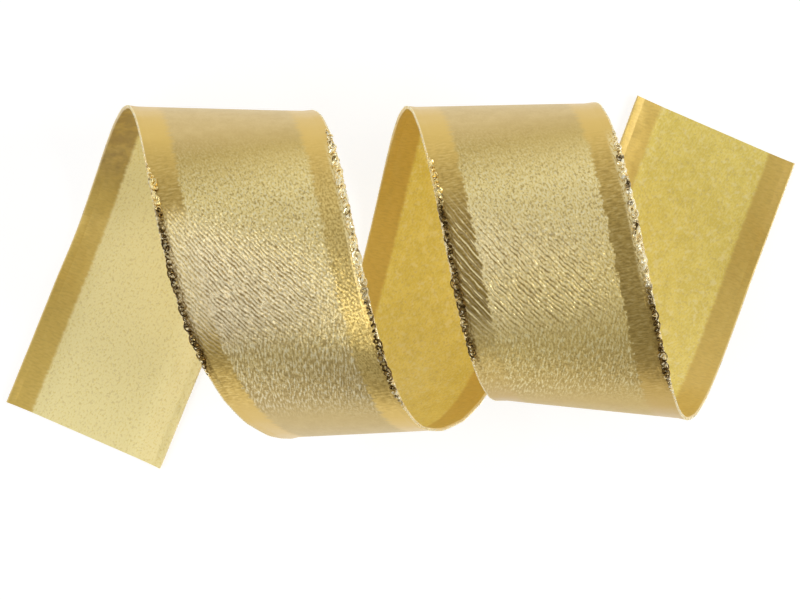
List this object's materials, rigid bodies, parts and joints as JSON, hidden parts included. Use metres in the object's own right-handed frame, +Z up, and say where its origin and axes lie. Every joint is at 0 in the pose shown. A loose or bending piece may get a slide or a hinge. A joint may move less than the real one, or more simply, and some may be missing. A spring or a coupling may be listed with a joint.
{
  "type": "curled wired-edge gift ribbon",
  "caption": "Length of metallic wired-edge gift ribbon curled into two loose turns, with a flat tail at each end and smooth borders along both edges.",
  "frame": {"origin": "on the table under the middle of the object's box, at the height of the flat tails' underside", "axes": "+X along the curl's axis from the left tail towards the right tail, +Y across the table from the left tail's cut end towards the right tail's cut end, +Z up from the table"},
  "size_m": [0.1768, 0.0836, 0.0672],
  "materials": {
    "lame_web": "fine metallic brocade, champagne gold, soft sparkle",
    "satin_band": "smooth metallic satin, deeper gold, glossy",
    "metallic_thread": "overcast metallic thread, bright gold",
    "edge_wire": "soft thin wire, pale gold coating"
  },
  "bodies": {
    "root": {"centre_panel": "lame_web", "left_satin_border": "satin_band", "right_satin_border": "satin_band", "left_selvedge": "metallic_thread", "right_selvedge": "metallic_thread", "left_edge_wire": "edge_wire", "right_edge_wire": "edge_wire"}
  },
  "joints": []
}
